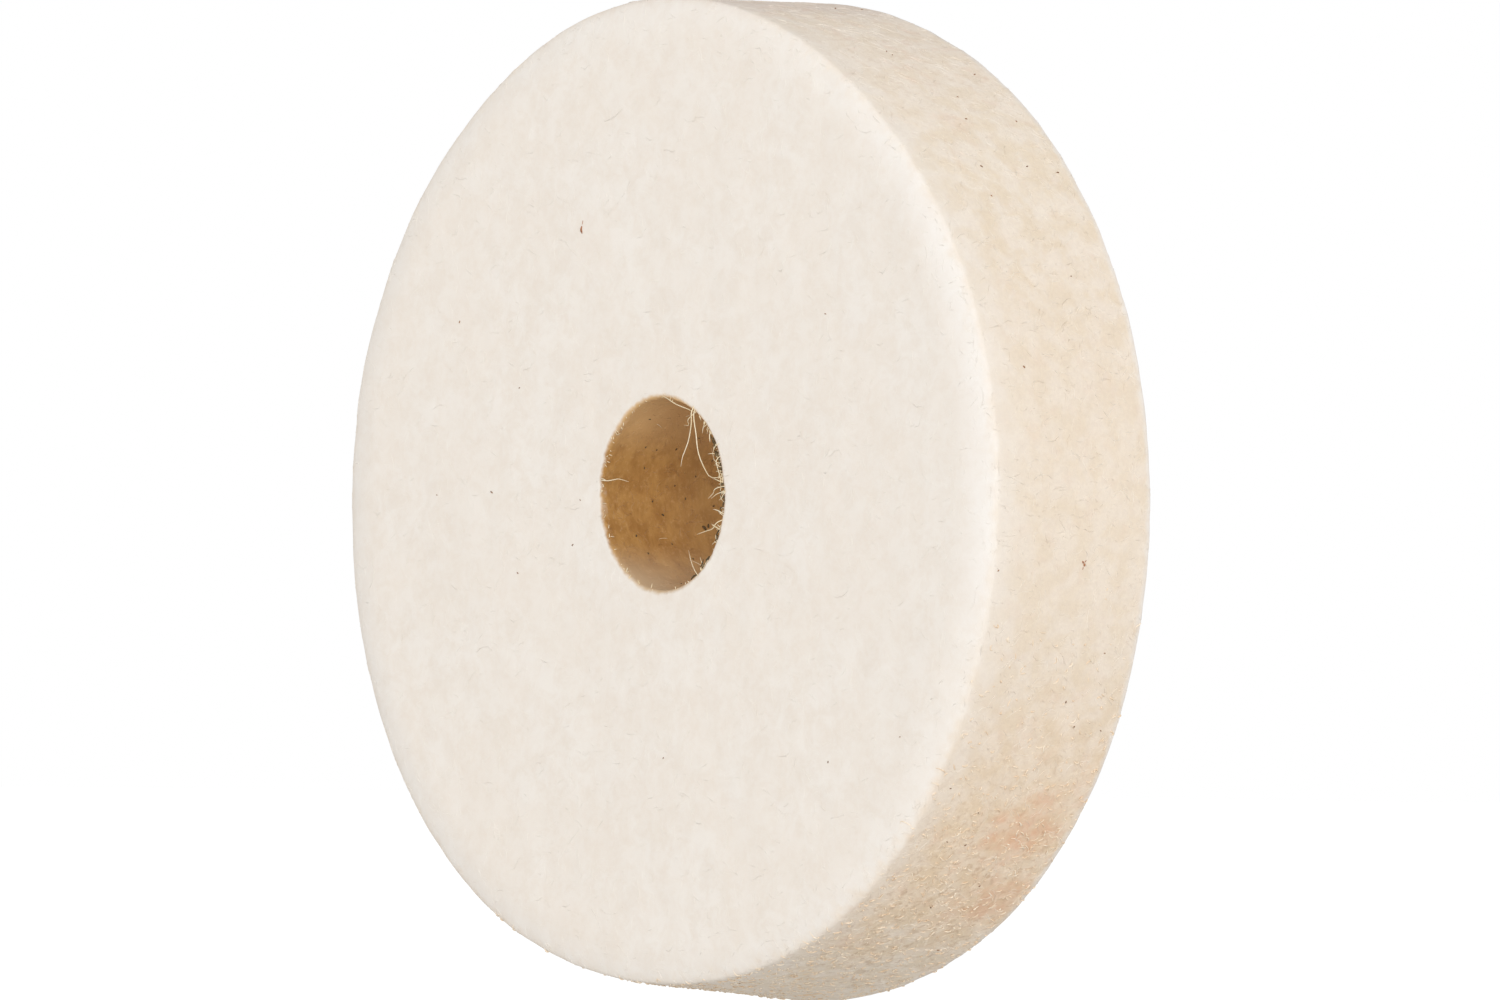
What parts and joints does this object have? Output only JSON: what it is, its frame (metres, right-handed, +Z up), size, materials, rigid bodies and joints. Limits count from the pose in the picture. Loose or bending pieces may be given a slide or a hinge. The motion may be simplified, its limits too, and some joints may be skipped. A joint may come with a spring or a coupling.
{
  "type": "felt polishing wheel",
  "caption": "Thick round disc of hard pressed wool felt with a plain central bore, for polishing stones on a spindle.",
  "frame": {"origin": "centre of the wheel, on its axis and halfway through its thickness", "axes": "+Y along the wheel's axis, out of its back face; +Z up, with the wheel standing on its rim; the front face looks along -Y"},
  "size_m": [0.05, 0.01, 0.05],
  "materials": {
    "wool_felt": "matte"
  },
  "bodies": {
    "root": {"felt_wheel": "wool_felt"}
  },
  "joints": []
}
